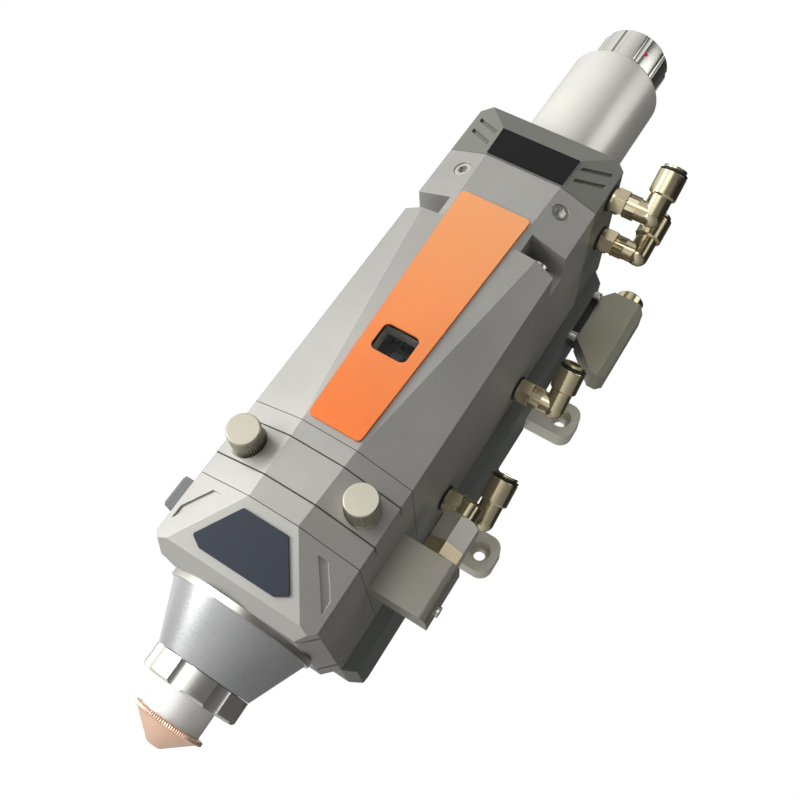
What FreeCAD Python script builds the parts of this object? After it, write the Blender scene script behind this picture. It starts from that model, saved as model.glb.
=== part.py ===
import FreeCAD, Part
import Sketcher
import math
import os
import re

from FreeCAD import Placement, Rotation, Vector

# Laser cutting head with automatic focus.
# Frame: +Z up the beam towards the fibre, the front faces -Y, +X is the side with the hoses.
# The origin lies on the rear mounting plane, in the middle of the four mounting holes.
# Every piece is drawn about the beam axis and then set back by rear_depth and down by mount_height.

doc = FreeCAD.newDocument("CuttingHead")
sheet = doc.addObject("Spreadsheet::Sheet", "Sizes")

# Driving dimensions in millimetres and degrees
SIZES = {
    # Housing section
    "half_width": 40,
    "front_edge": 36.6,
    "slope_angle": 20.7,
    "centre_half": 12.19,
    "centre_taper": 2.302,
    "seam_depth": 44,
    "rear_depth": 86,
    "mount_height": 106.5,
    "beam_radius": 16,
    "running_gap": 0.05,
    "fixed_gap": 0.05,
    "loose_gap": 0.3,

    # Heights of the stacked modules
    "module_height": 36.2,
    "spacer_height": 10.3,
    "drawer_height": 20,
    "band_height": 8.5,
    "main_height": 140.8,
    "collimator_height": 23.2,
    "cap_height": 33.2,

    # Nozzle module
    "badge_tilt": 14.5,
    "front_bevel": 5.6,
    "side_bevel": 6.8,
    "bevel_slot_width": 3.2,
    "bevel_slot_depth": 2,
    "bevel_slot_front": 28,
    "bevel_slot_rear": 30,
    "recess_start": 24.3,
    "recess_top": 4.7,
    "recess_width": 4.5,
    "recess_run": 13.2,
    "recess_slant": 53.5,
    "recess_depth": 1,
    "badge_thickness": 1,
    "badge_top": 5.2,
    "badge_margin": 3.8,
    "badge_top_half": 11,
    "badge_wide_half": 24,
    "badge_bottom_half": 18.5,
    "badge_corner": 3.4,

    # Window drawer
    "panel_gap": 0.15,
    "panel_rear": 28,
    "tray_half": 24,
    "tray_rear": 26,
    "cell_radius": 15,
    "window_hole": 12.5,
    "cell_floor": 2.6,
    "seal_thickness": 1.5,
    "window_thickness": 4,
    "retainer_height": 3.2,
    "cell_margin": 0.5,
    "thumb_spacing": 58,
    "thumb_shaft": 2.5,
    "thumb_reach": 10,
    "thumb_seat": 39,
    "knob_radius": 7.5,
    "knob_length": 15,
    "knob_chamfer": 1,

    # Main housing
    "ridge_half": 30.5,
    "ridge_front": 43.3,
    "ridge_start": 0.4,
    "notch_inner": 22,
    "notch_height": 12,
    "notch_roof": 7.6,
    "notch_rear": 21.5,
    "chamber_half": 26,
    "chamber_front": 36,
    "chamber_floor": 9.2,
    "chamber_roof": 25.6,
    "tie_screw_x": 30,
    "tie_screw_y": 30,
    "tie_screw_radius": 3,
    "tie_head_radius": 5,
    "tie_head_height": 6,
    "tie_screw_length": 30,

    # Face plate with its sight opening
    "plate_foot": 3.2,
    "plate_head": 2.6,
    "plate_inset": 0.9,
    "plate_thickness": 1.2,
    "plate_corner": 2.2,
    "sight_half": 9,
    "sight_foot": 43.2,
    "sight_height": 14.5,
    "sight_corner": 3,
    "pane_margin": 2,
    "pane_thickness": 1.8,
    "pane_depth": 2.2,

    # Focusing unit
    "carriage_half": 25,
    "carriage_front": 20,
    "carriage_rear": 42,
    "carriage_rest": 32,
    "carriage_height": 20,
    "carriage_tail": 12,
    "lens_radius": 14.9,
    "lens_ledge": 2,
    "lens_seat": 5,
    "lens_thickness": 7,
    "lens_curve": 45,
    "pointer_half": 4.5,
    "pointer_low": 2,
    "pointer_height": 8.5,
    "pointer_front": 35.5,
    "rod_radius": 4,
    "rod_spacing": 40,
    "rod_depth": 14,
    "rod_seat_low": 6,
    "rod_seat_high": 12,
    "drive_depth": 33,
    "screw_radius": 3.9,
    "nut_radius": 7,
    "nut_flange": 3,
    "bearing_height": 8,
    "motor_side": 28,
    "motor_height": 34,
    "motor_corner": 4,
    "shaft_depth": 5,

    # Collimator module and cap
    "collimator_bore": 17,
    "side_screw_x": 26.7,
    "side_screw_height": 11.4,
    "side_head_radius": 4.25,
    "side_head_height": 4.4,
    "side_shank_radius": 2.5,
    "side_shank_length": 12,
    "cap_bevel_height": 14.4,
    "cap_bevel_tilt": 19.65,
    "cap_corner_width": 5.5,
    "cap_corner_height": 4,
    "louvre_inner": 23.4,
    "louvre_run": 13.3,
    "louvre_rise": 7.7,
    "louvre_low": 6.4,
    "louvre_pitch": 7.8,
    "louvre_width": 2.4,
    "louvre_depth": 1.5,
    "top_plate_low": 1,
    "top_plate_margin": 0.6,
    "top_plate_thickness": 0.8,
    "cell_height": 42,
    "cell_wall": 3,
    "collimating_thickness": 6,

    # Fibre receiver
    "tube_radius": 26.6,
    "tube_height": 79,
    "tube_round": 1.5,
    "seat_radius": 15.9,
    "seat_hole": 12.7,
    "seat_low": 26,
    "collar_radius": 20.6,
    "collar_height": 27.5,
    "collar_lip": 7.7,
    "collar_lip_radius": 13.2,
    "collar_chamfer": 2,
    "flute_count": 10,
    "flute_radius": 2.6,
    "flute_depth": 1,

    # Rear covers and mounting bars
    "cover_lip": 6,
    "split_margin": 1,
    "cover_front": 42,
    "cover_step": 6,
    "cover_drop": 8,
    "cover_corner": 6,
    "rear_slant": 6,
    "rear_slant_height": 3.7,
    "rear_toe": 6,
    "rear_toe_height": 7.8,
    "mount_pitch": 90,
    "hole_spacing": 125,
    "bar_end": 9.5,
    "bar_height": 21,
    "bar_thickness": 13,
    "bar_corner": 7,
    "mount_hole": 3.3,
    "counterbore": 5.6,
    "counterbore_depth": 7,

    # Gas connection
    "gas_reach": 28.5,
    "gas_front": 5,
    "gas_rear": 11,
    "gas_low": 1.5,
    "gas_high": 29.5,
    "gas_corner": 4,
    "gas_port_out": 18,
    "gas_port_y": 3,
    "gas_flats": 17,
    "gas_collar_height": 6.5,
    "gas_nut_height": 14,
    "gas_nut_chamfer": 1.2,
    "gas_stub_radius": 5,
    "gas_stub_end": 28.5,
    "gas_bore": 3,
    "gas_bore_depth": 20,
    "gas_screw_y": 5,
    "gas_screw_z": 10,
    "gas_screw_radius": 2.6,
    "gas_screw_height": 1.6,

    # Signal connector
    "hood_front": 50,
    "hood_rear": 66,
    "hood_gap": 3.5,
    "hood_width": 24.3,
    "hood_rise": 33,
    "hood_height": 53,
    "hood_step": 5,
    "hood_step_height": 6,
    "hood_foot": 4.8,
    "hood_lower_height": 16,
    "hood_chamfer": 4,
    "hood_corner": 3,
    "ring_out": 13.7,
    "ring_radius": 8,
    "ring_height": 6,
    "ring_hole": 4,
    "socket_margin": 1.5,
    "jack_depth": 45.5,
    "jack_radius": 2.6,
    "jack_length": 4,
    "jack_high": 42.5,
    "jack_low": 13,

    # Proximity block on the left
    "sensor_reach": 8,
    "sensor_front": 31,
    "sensor_rear": 14,
    "sensor_low": 19,
    "sensor_high": 4,

    # Cone, lock ring, ceramic ring and nozzle
    "ring_outer": 35.4,
    "ring_thickness": 3,
    "cone_top": 33.9,
    "cone_bottom": 22.9,
    "cone_height": 24.8,
    "cone_boss": 17.55,
    "cone_boss_height": 7,
    "cone_bore": 15,
    "lock_radius": 22.8,
    "lock_height": 10.4,
    "lock_lip": 1.4,
    "lock_chamfer": 1,
    "lobe_count": 8,
    "lobe_cut_radius": 6,
    "lobe_cut_depth": 1.6,
    "ceramic_radius": 14,
    "ceramic_flange": 16.5,
    "ceramic_flange_height": 2.2,
    "ceramic_height": 13.2,
    "ceramic_bore": 7,
    "nozzle_flange": 16.6,
    "nozzle_rim": 2,
    "nozzle_tip": 3,
    "nozzle_length": 11.1,
    "nozzle_shank": 10,
    "nozzle_bore": 1.5,

    # Push-in elbows
    "port_radius": 5,
    "port_depth": 6,
    "stem_flats": 12,
    "stem_washer": 2.6,
    "stem_hex": 6,
    "stem_post": 3.6,
    "elbow_reach": 21.75,
    "elbow_flats": 10.6,
    "elbow_hex": 5.5,
    "elbow_radius": 5.6,
    "elbow_bend": 5,
    "barrel_radius": 7,
    "barrel_start": 9.5,
    "barrel_length": 22.3,
    "barrel_chamfer": 0.8,
    "release_radius": 5.8,
    "release_flange": 1.3,
    "release_travel": 0.8,
    "release_sleeve": 4.2,
    "release_depth": 9,
    "hose_radius": 3.05,

    # Where each elbow sits behind the beam axis and above its module, and how far it leans forward
    "elbow_back_1": -28.7,
    "elbow_up_1": 18.2,
    "elbow_lean_1": 30,
    "elbow_back_2": 0.3,
    "elbow_up_2": 15.7,
    "elbow_lean_2": 15,
    "elbow_back_3": 33,
    "elbow_up_3": 97.2,
    "elbow_lean_3": 40,
    "elbow_back_4": 29,
    "elbow_up_4": 24.8,
    "elbow_lean_4": 25,
}
for row, (alias, value) in enumerate(SIZES.items(), 1):
    sheet.set("A%d" % row, str(value))
    sheet.setAlias("A%d" % row, alias)
doc.recompute()


# Measures that follow from the driving dimensions
FOLLOWS = {
    "z_drawer": "spacer_height",
    "z_band": "z_drawer + drawer_height",
    "z_main": "z_band + band_height",
    "z_upper": "z_main + main_height",
    "z_cap": "z_upper + collimator_height",
    "z_top": "z_cap + cap_height",
    "tilt_end": "module_height - front_bevel",
    "badge_length": "tilt_end / cos(badge_tilt) - badge_top - badge_margin",
    "tray_height": "cell_floor + seal_thickness + window_thickness + retainer_height + cell_margin",
    "tray_lift": "(drawer_height - tray_height) / 2",
    "shoulder_height": "main_height - notch_roof - notch_height",
    "chamber_height": "main_height - chamber_floor - chamber_roof",
    "plate_low": "z_main + plate_foot",
    "plate_high": "z_upper - plate_head",
    "sight_low": "z_main + sight_foot",
    "carriage_low": "z_main + chamber_floor + carriage_rest",
    "top_plate_height": "cap_height - cap_bevel_height - top_plate_low - top_plate_margin",
    "seat_height": "tube_height + collar_height - collar_lip - seat_low",
    "cover_half": "half_width + cover_lip",
    "cover_split": "mount_height + mount_pitch / 2 - bar_height / 2 - split_margin",
    "cover_rear": "rear_depth - cover_step",
    "cover_top": "z_top - cover_drop",
    "rear_low": "module_height - side_bevel",
    "bar_half": "hole_spacing / 2 + bar_end",
    "gas_port_x": "half_width + gas_port_out",
    "hood_inner": "cover_half + hood_gap",
    "hood_outer": "hood_inner + hood_width",
    "hood_low": "cover_split + hood_rise",
    "hood_high": "hood_low + hood_height",
    "hood_lower_step": "hood_width - hood_corner - hood_foot",
    "ring_x": "hood_inner + ring_out",
    "stem_end": "stem_washer + stem_hex",
}


# Drawing helpers
def ex(text):
    def name(found):
        word = found.group(0)
        if word in FOLLOWS:
            return "(%s)" % ex(FOLLOWS[word])
        return "Sizes." + word if word in SIZES else word
    return re.sub(r"[a-z][a-z_0-9]*", name, str(text))


def bind(thing, path, text):
    thing.setExpression(path, ex(text))


def place(thing, x="0", y="0", z="0", axis=None, angle=None):
    if axis:
        thing.Placement = Placement(Vector(), Rotation(Vector(*axis), 10))
        bind(thing, ".Placement.Rotation.Angle", angle)
    bind(thing, ".Placement.Base.x", x)
    bind(thing, ".Placement.Base.y", "(%s) - rear_depth" % y)
    bind(thing, ".Placement.Base.z", "(%s) - mount_height" % z)


def piece(label, x="0", y="0", z="0", axis=None, angle=None):
    body = doc.addObject("PartDesign::Body", label)
    body.Label = label
    place(body, x, y, z, axis, angle)
    return body


def sketch(body, plane, at="0", shift=None, turn=0):
    base = [f for f in body.Origin.OriginFeatures if f.Role == plane + "_Plane"][0]
    drawing = body.newObject("Sketcher::SketchObject", body.Name + "_sketch")
    drawing.AttachmentSupport = (base, [""])
    drawing.MapMode = "FlatFace"
    if turn:
        drawing.AttachmentOffset = Placement(Vector(), Rotation(Vector(0, turn, 0), 10))
        bind(drawing, ".AttachmentOffset.Rotation.Angle", "slope_angle")
    if shift:
        bind(drawing, ".AttachmentOffset.Base.x", shift)
    bind(drawing, ".AttachmentOffset.Base.z", at)
    return drawing


def pin(drawing, index, point, x, y, near):
    for kind, text, start in (("DistanceX", x, near.x), ("DistanceY", y, near.y)):
        rule = drawing.addConstraint(Sketcher.Constraint(kind, -1, 1, index, point, start))
        bind(drawing, "Constraints[%d]" % rule, text)


def outline(drawing, points):
    first = drawing.GeometryCount
    count = len(points)
    ring = []
    for i in range(count):
        a = 2 * math.pi * i / count + 0.3
        ring.append(Vector(60 * math.cos(a), 60 * math.sin(a), 0))
    for i in range(count):
        drawing.addGeometry(Part.LineSegment(ring[i], ring[(i + 1) % count]), False)
    for i in range(count):
        drawing.addConstraint(Sketcher.Constraint("Coincident", first + i, 2, first + (i + 1) % count, 1))
    for i, (x, y) in enumerate(points):
        pin(drawing, first + i, 1, x, y, ring[i])


def circle(drawing, x, y, radius):
    centre = Vector(3, 2, 0)
    index = drawing.addGeometry(Part.Circle(centre, Vector(0, 0, 1), 5), False)
    pin(drawing, index, 3, x, y, centre)
    rule = drawing.addConstraint(Sketcher.Constraint("Radius", index, 5))
    bind(drawing, "Constraints[%d]" % rule, radius)


def hexagon(drawing, x, y, flats):
    points = []
    for i in range(6):
        across = "cos(%d) * (%s) / (2 * cos(30))" % (60 * i + 30, flats)
        along = "sin(%d) * (%s) / (2 * cos(30))" % (60 * i + 30, flats)
        points.append(("(%s) + %s" % (x, across), "(%s) + %s" % (y, along)))
    outline(drawing, points)


def rectangle(drawing, left, right, low, high):
    outline(drawing, [(left, low), (right, low), (right, high), (left, high)])


def extrude(body, drawing, kind, length, back=False, both=False):
    feature = body.newObject("PartDesign::" + kind, body.Name + "_" + kind.lower())
    feature.Profile = drawing
    if length == "all":
        feature.Type = "ThroughAll"
    else:
        bind(feature, "Length", length)
    feature.Reversed = back
    feature.Midplane = both
    drawing.Visibility = False
    return feature


def pad(body, drawing, length, back=False, both=False):
    return extrude(body, drawing, "Pad", length, back, both)


def pocket(body, drawing, length, back=False, both=False):
    return extrude(body, drawing, "Pocket", length, back, both)


def loft(body, lower, upper):
    feature = body.newObject("PartDesign::AdditiveLoft", body.Name + "_loft")
    feature.Profile = lower
    feature.Sections = [upper]
    feature.Ruled = True
    return feature


def turned(body, points, plane="XZ", cut=False):
    drawing = sketch(body, plane)
    outline(drawing, points)
    kind = "PartDesign::Groove" if cut else "PartDesign::Revolution"
    feature = body.newObject(kind, body.Name + "_turned")
    feature.Profile = drawing
    feature.ReferenceAxis = (drawing, ["V_Axis"])
    feature.Angle = 360
    return feature


def ring(body, outer, inner, low, high):
    return turned(body, [(inner, low), (outer, low), (outer, high), (inner, high)])


def edges(body, kind, measure, test):
    doc.recompute()
    base = body.Tip
    shape = base.Shape
    found = ["Edge%d" % (i + 1) for i, e in enumerate(shape.Edges) if test(e, shape.BoundBox)]
    feature = body.newObject("PartDesign::" + kind, body.Name + "_" + kind.lower())
    feature.Base = (base, found)
    bind(feature, "Radius" if kind == "Fillet" else "Size", measure)
    return feature


def runs(axis):
    way = {"X": Vector(1, 0, 0), "Y": Vector(0, 1, 0), "Z": Vector(0, 0, 1)}[axis]

    def test(edge, box):
        if not isinstance(edge.Curve, Part.Line):
            return False
        return abs(abs(edge.Curve.Direction.dot(way)) - 1) < 1e-6
    return test


# The upright edge of a piece on the outer side and in front
def outer_front(edge, box):
    middle = edge.BoundBox.Center
    return runs("Z")(edge, box) and middle.x > box.Center.x and middle.y < box.YMin + 0.01


# Heights above the lower edge of the spacer band
Z_DRAWER = "z_drawer"
Z_BAND = "z_band"
Z_MAIN = "z_main"
Z_UPPER = "z_upper"
Z_CAP = "z_cap"
Z_TOP = "z_top"


# Half width and distance in front of the beam axis of the centre face at one height
def face_half(z):
    return "(centre_half + tan(centre_taper) * (%s))" % z


def slope_front(x):
    return "(front_edge + tan(slope_angle) * (half_width - (%s)))" % x


def face_front(z):
    return slope_front(face_half(z))


def section(body, low, height, rear="seam_depth"):
    c = face_half("%s + %s" % (low, height))
    f = slope_front(c)
    drawing = sketch(body, "XY", height)
    outline(drawing, [
        ("-half_width", rear),
        ("-half_width", "-front_edge"),
        ("-" + c, "-" + f),
        (c, "-" + f),
        ("half_width", "-front_edge"),
        ("half_width", rear),
    ])
    return drawing


def module(label, low, height, rear="seam_depth", from_="0", to=None):
    body = piece(label, z=low)
    loft(body, section(body, low, from_, rear), section(body, low, to or height, rear))
    return body


def bore(body, radius, x="0", y="0", plane="XY"):
    drawing = sketch(body, plane)
    circle(drawing, x, y, radius)
    return pocket(body, drawing, "all", both=True)


def slope_sketch(body, side):
    drawing = sketch(body, "XZ", "front_edge", "%d * half_width" % side, side)
    return drawing


def on_slope(side, x):
    return "-(%d) * (half_width - (%s)) / cos(slope_angle)" % (side, x)


# Nozzle module: a bevelled block with a tilted badge face
nozzle_module = piece("nozzle_module_housing")
loft(
    nozzle_module,
    section(nozzle_module, "0", "-module_height"),
    section(nozzle_module, "0", "0"),
)
TILT_Y = "(%s - tan(badge_tilt) * tilt_end)" % face_front("0")
drawing = sketch(nozzle_module, "YZ")
outline(drawing, [
    ("-" + face_front("0"), "0"),
    ("-" + TILT_Y, "-tilt_end"),
    ("-(%s - 2 * front_bevel)" % TILT_Y, "-(module_height + front_bevel)"),
    ("-%s * 1.2" % face_front("0"), "-(module_height + front_bevel)"),
    ("-%s * 1.2" % face_front("0"), "0"),
])
pocket(nozzle_module, drawing, "all", both=True)


def bevel_corner(drawing, side, inset):
    s = "%d * " % side
    top = "-(module_height - 2 * side_bevel)"
    low = "-(module_height + side_bevel)"
    outline(drawing, [
        (s + "(half_width + side_bevel - (%s))" % inset, top),
        (s + "(half_width - 2 * side_bevel - (%s))" % inset, low),
        (s + "(half_width + side_bevel)", low),
        (s + "(half_width + side_bevel)", top + " - 0.001"),
    ])


drawing = sketch(nozzle_module, "XZ")
for side in (-1, 1):
    bevel_corner(drawing, side, "0")
pocket(nozzle_module, drawing, "all", both=True)
for where in ("bevel_slot_front", "-bevel_slot_rear"):
    drawing = sketch(nozzle_module, "XZ", where)
    for side in (-1, 1):
        bevel_corner(drawing, side, "bevel_slot_depth * sqrt(2)")
    pocket(nozzle_module, drawing, "bevel_slot_width", both=True)
for side in (-1, 1):
    drawing = slope_sketch(nozzle_module, side)
    fall = "tan(recess_slant)"
    corners = [
        ("recess_start", "-recess_top"),
        ("recess_start + recess_width", "-recess_top"),
        ("recess_start + recess_run", "-(recess_top + (recess_run - recess_width) * %s)" % fall),
        ("recess_start + recess_run", "-(recess_top + recess_run * %s)" % fall),
    ]
    outline(drawing, [(on_slope(side, x), z) for x, z in corners])
    pocket(nozzle_module, drawing, "recess_depth")
bore(nozzle_module, "beam_radius")

badge = piece("badge_plate", y="-" + face_front("0"), axis=(1, 0, 0), angle="badge_tilt")
drawing = sketch(badge, "XZ")
outline(drawing, [
    ("-badge_top_half", "-badge_top"),
    ("badge_top_half", "-badge_top"),
    ("badge_wide_half", "-(badge_top + badge_length - badge_corner)"),
    ("badge_bottom_half", "-(badge_top + badge_length)"),
    ("-badge_bottom_half", "-(badge_top + badge_length)"),
    ("-badge_wide_half", "-(badge_top + badge_length - badge_corner)"),
])
pad(badge, drawing, "badge_thickness")
edges(badge, "Fillet", "badge_thickness", runs("Y"))

spacer = module("spacer_band", "0", "spacer_height")
bore(spacer, "beam_radius")

# Drawer for the protective window: a front panel in the line of the housing and a tray behind it
drawer = module(
    "window_drawer",
    Z_DRAWER,
    "drawer_height",
    rear="-panel_rear",
    from_="panel_gap",
    to="drawer_height - panel_gap",
)
drawing = sketch(drawer, "XY", "tray_lift")
rectangle(drawing, "-tray_half", "tray_half", "-panel_rear", "tray_rear")
pad(drawer, drawing, "tray_height")
THUMB_Z = "drawer_height / 2"
for side in (-1, 1):
    drawing = sketch(drawer, "XZ", "thumb_seat")
    circle(drawing, "%d * thumb_spacing / 2" % side, THUMB_Z, "knob_radius + loose_gap * 2")
    pocket(drawer, drawing, "thumb_seat - panel_rear", back=True)
    drawing = sketch(drawer, "XZ", "panel_rear")
    circle(drawing, "%d * thumb_spacing / 2" % side, THUMB_Z, "thumb_shaft + 2 * running_gap")
    pocket(drawer, drawing, "thumb_seat", back=True)
drawing = sketch(drawer, "XY", "tray_lift + tray_height")
circle(drawing, "0", "0", "cell_radius")
pocket(drawer, drawing, "tray_height - cell_floor")
bore(drawer, "window_hole")

slot = "tray_half + loose_gap"
drawer_housing = piece("drawer_housing", z=Z_DRAWER)
drawing = sketch(drawer_housing, "XY")
rectangle(drawing, "-half_width", "half_width", "-panel_rear", "seam_depth")
pad(drawer_housing, drawing, "drawer_height")
drawing = sketch(drawer_housing, "XZ", "panel_rear")
rectangle(
    drawing,
    "-(%s)" % slot,
    slot,
    "tray_lift - loose_gap",
    "tray_lift + tray_height + loose_gap",
)
pocket(drawer_housing, drawing, "panel_rear + tray_rear + loose_gap")
drawing = sketch(drawer_housing, "XZ", "panel_rear")
for side in (-1, 1):
    circle(drawing, "%d * thumb_spacing / 2" % side, THUMB_Z, "thumb_shaft + 2 * running_gap")
pocket(drawer_housing, drawing, "thumb_reach + 2")
bore(drawer_housing, "beam_radius")

CELL_Z = "(%s + tray_lift + cell_floor)" % Z_DRAWER
seal = piece("window_seal", z=CELL_Z)
ring(seal, "cell_radius - fixed_gap", "window_hole", "0", "seal_thickness")
window = piece("protective_window", z=CELL_Z + " + seal_thickness")
drawing = sketch(window, "XY")
circle(drawing, "0", "0", "cell_radius - 2 * fixed_gap")
pad(window, drawing, "window_thickness")
retainer = piece("window_retainer", z=CELL_Z + " + seal_thickness + window_thickness")
ring(retainer, "cell_radius - fixed_gap", "window_hole", "0", "retainer_height")
for turn in (0, 180):
    drawing = sketch(retainer, "XY", "retainer_height")
    rectangle(drawing, "-1", "1", "window_hole * cos(%d) - 1" % turn, "window_hole * cos(%d) + 1" % turn)
    pocket(retainer, drawing, "retainer_height / 2")

for label, side in (("thumb_screw_left", -1), ("thumb_screw_right", 1)):
    screw = piece(label, x="%d * thumb_spacing / 2" % side, z=Z_DRAWER + " + " + THUMB_Z)
    drawing = sketch(screw, "XZ", "thumb_seat")
    circle(drawing, "0", "0", "knob_radius")
    pad(screw, drawing, "knob_length")
    drawing = sketch(screw, "XZ", "thumb_seat")
    circle(drawing, "0", "0", "thumb_shaft")
    pad(screw, drawing, "thumb_seat - panel_rear + thumb_reach", back=True)
    edges(screw, "Chamfer", "knob_chamfer", lambda e, box: e.BoundBox.YMax < box.YMin + 0.01 and e.Length > 1)

intermediate = module("intermediate_band", Z_BAND, "band_height")
bore(intermediate, "beam_radius")

# Main housing: lofted shoulders that grow out of the lower creases, with a notch above each
main = piece("main_housing", z=Z_MAIN)


def shoulder(height, ridge_x, ridge_y):
    c = face_half("%s + %s" % (Z_MAIN, height))
    f = slope_front(c)
    drawing = sketch(main, "XY", height)
    outline(drawing, [
        ("-half_width", "seam_depth"),
        ("-half_width", "-front_edge"),
        ("-(%s)" % ridge_x, "-(%s)" % ridge_y),
        ("-" + c, "-" + f),
        (c, "-" + f),
        (ridge_x, "-(%s)" % ridge_y),
        ("half_width", "-front_edge"),
        ("half_width", "seam_depth"),
    ])
    return drawing


RIDGE_FOOT = "%s + ridge_start" % face_half(Z_MAIN)
loft(
    main,
    shoulder("0", RIDGE_FOOT, slope_front(RIDGE_FOOT)),
    shoulder("shoulder_height", "ridge_half", "ridge_front"),
)
loft(
    main,
    section(main, Z_MAIN, "shoulder_height"),
    section(main, Z_MAIN, "main_height"),
)
drawing = sketch(main, "XZ", "notch_rear")
for side in ("-", ""):
    rectangle(
        drawing,
        side + "notch_inner",
        side + "half_width * 1.1",
        "shoulder_height",
        "shoulder_height + notch_height",
    )
pocket(main, drawing, "all", back=True)
drawing = sketch(main, "XZ", "-seam_depth")
rectangle(
    drawing,
    "-chamber_half",
    "chamber_half",
    "chamber_floor",
    "chamber_floor + chamber_height",
)
pocket(main, drawing, "seam_depth + chamber_front", back=True)
SIGHT_Z = "sight_foot"
drawing = sketch(main, "XZ", "chamber_front - 1")
rectangle(drawing, "-sight_half", "sight_half", SIGHT_Z, SIGHT_Z + " + sight_height")
pocket(main, drawing, "all", back=True)
PANE_Y = "(%s - pane_depth)" % face_front("sight_low + sight_height")
drawing = sketch(main, "XZ", PANE_Y)
rectangle(
    drawing,
    "-(sight_half + pane_margin)",
    "sight_half + pane_margin",
    SIGHT_Z + " - pane_margin",
    SIGHT_Z + " + sight_height + pane_margin",
)
pocket(main, drawing, "all", back=True)
drawing = sketch(main, "XY", "chamber_floor - rod_seat_low")
for side in (-1, 1):
    circle(drawing, "%d * rod_spacing / 2" % side, "rod_depth", "rod_radius + fixed_gap")
pocket(main, drawing, "rod_seat_low + chamber_height + rod_seat_high", back=True)
drawing = sketch(main, "XY", "chamber_floor")
circle(drawing, "0", "drive_depth", "nut_radius + fixed_gap")
pocket(main, drawing, "bearing_height - 2")
drawing = sketch(main, "XY", "shoulder_height")
for side in (-1, 1):
    circle(drawing, "%d * tie_screw_x" % side, "-tie_screw_y", "tie_screw_radius + fixed_gap")
pocket(main, drawing, "tie_screw_length")
bore(main, "beam_radius")


def hose_ports(body, marks):
    drawing = sketch(body, "YZ", "half_width")
    for mark in marks:
        circle(drawing, "elbow_back_" + mark, "elbow_up_" + mark, "port_radius + fixed_gap")
    pocket(body, drawing, "port_depth + 1")


hose_ports(main, ("3", "4"))

# Face plate on the centre face, leaning back with it
LEAN = "atan(tan(slope_angle) * tan(centre_taper))"
plate = piece("face_plate", y="-" + face_front("0"), axis=(-1, 0, 0), angle=LEAN)
drawing = sketch(plate, "XZ")
low_half = "%s - plate_inset" % face_half("plate_low")
high_half = "%s - plate_inset" % face_half("plate_high")
outline(drawing, [
    ("-(%s)" % low_half, "plate_low"),
    (low_half, "plate_low"),
    (high_half, "plate_high"),
    ("-(%s)" % high_half, "plate_high"),
])
pad(plate, drawing, "plate_thickness")
edges(plate, "Fillet", "plate_corner", runs("Y"))
drawing = sketch(plate, "XZ")
rectangle(drawing, "-sight_half", "sight_half", "sight_low", "sight_low + sight_height")
pocket(plate, drawing, "all", both=True)
edges(
    plate,
    "Fillet",
    "sight_corner",
    lambda e, box: runs("Y")(e, box) and abs(abs(e.BoundBox.Center.x) - SIZES["sight_half"]) < 0.01,
)

pane = piece("sight_window", y="-" + PANE_Y, z="sight_low")
drawing = sketch(pane, "XZ")
rectangle(
    drawing,
    "-(sight_half + pane_margin - fixed_gap)",
    "sight_half + pane_margin - fixed_gap",
    "-(pane_margin - fixed_gap)",
    "sight_height + pane_margin - fixed_gap",
)
pad(pane, drawing, "pane_thickness")


# Socket screws, drawn head outwards along their own axis
def cap_screw(body, plane, head, head_height, shank, length, out):
    drawing = sketch(body, plane)
    circle(drawing, "0", "0", head)
    pad(body, drawing, head_height, back=not out)
    drawing = sketch(body, plane)
    circle(drawing, "0", "0", shank)
    pad(body, drawing, length, back=out)
    drawing = sketch(body, plane, head_height)
    hexagon(drawing, "0", "0", "%s * 1.1" % head)
    pocket(body, drawing, "%s * 0.55" % head_height)


def group(label, members):
    together = doc.addObject("Part::Compound", label)
    together.Links = members
    together.Label = label
    return together


tie_members = []
for side, name in ((-1, "left"), (1, "right")):
    screw = piece(
        "tie_screw_" + name,
        x="%d * tie_screw_x" % side,
        y="-tie_screw_y",
        z="%s + shoulder_height" % Z_MAIN,
    )
    cap_screw(
        screw,
        "XY",
        "tie_head_radius",
        "tie_head_height",
        "tie_screw_radius",
        "tie_screw_length",
        True,
    )
    tie_members.append(screw)
tie_screws = group("tie_screws", tie_members)

# Collimator module with one socket screw sunk into each slope
collimator = module("collimator_housing", Z_UPPER, "collimator_height")
bore(collimator, "collimator_bore")
for side in (-1, 1):
    for radius, depth in (
        ("side_head_radius + 0.2", "side_head_height + 0.4"),
        ("side_shank_radius + fixed_gap", "side_head_height + 0.4 + side_shank_length"),
    ):
        drawing = slope_sketch(collimator, side)
        circle(drawing, on_slope(side, "side_screw_x"), "side_screw_height", radius)
        pocket(collimator, drawing, depth)
side_members = []
for side, name in ((-1, "left"), (1, "right")):
    sunk = "(side_head_height + 0.4)"
    screw = piece(
        "collimator_screw_" + name,
        x="%d * (side_screw_x - %s * sin(slope_angle))" % (side, sunk),
        y="-(%s - %s * cos(slope_angle))" % (slope_front("side_screw_x"), sunk),
        z=Z_UPPER + " + side_screw_height",
        axis=(0, 0, side),
        angle="slope_angle",
    )
    cap_screw(
        screw,
        "XZ",
        "side_head_radius",
        "side_head_height",
        "side_shank_radius",
        "side_shank_length",
        True,
    )
    side_members.append(screw)
collimator_screws = group("collimator_screws", side_members)

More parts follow.
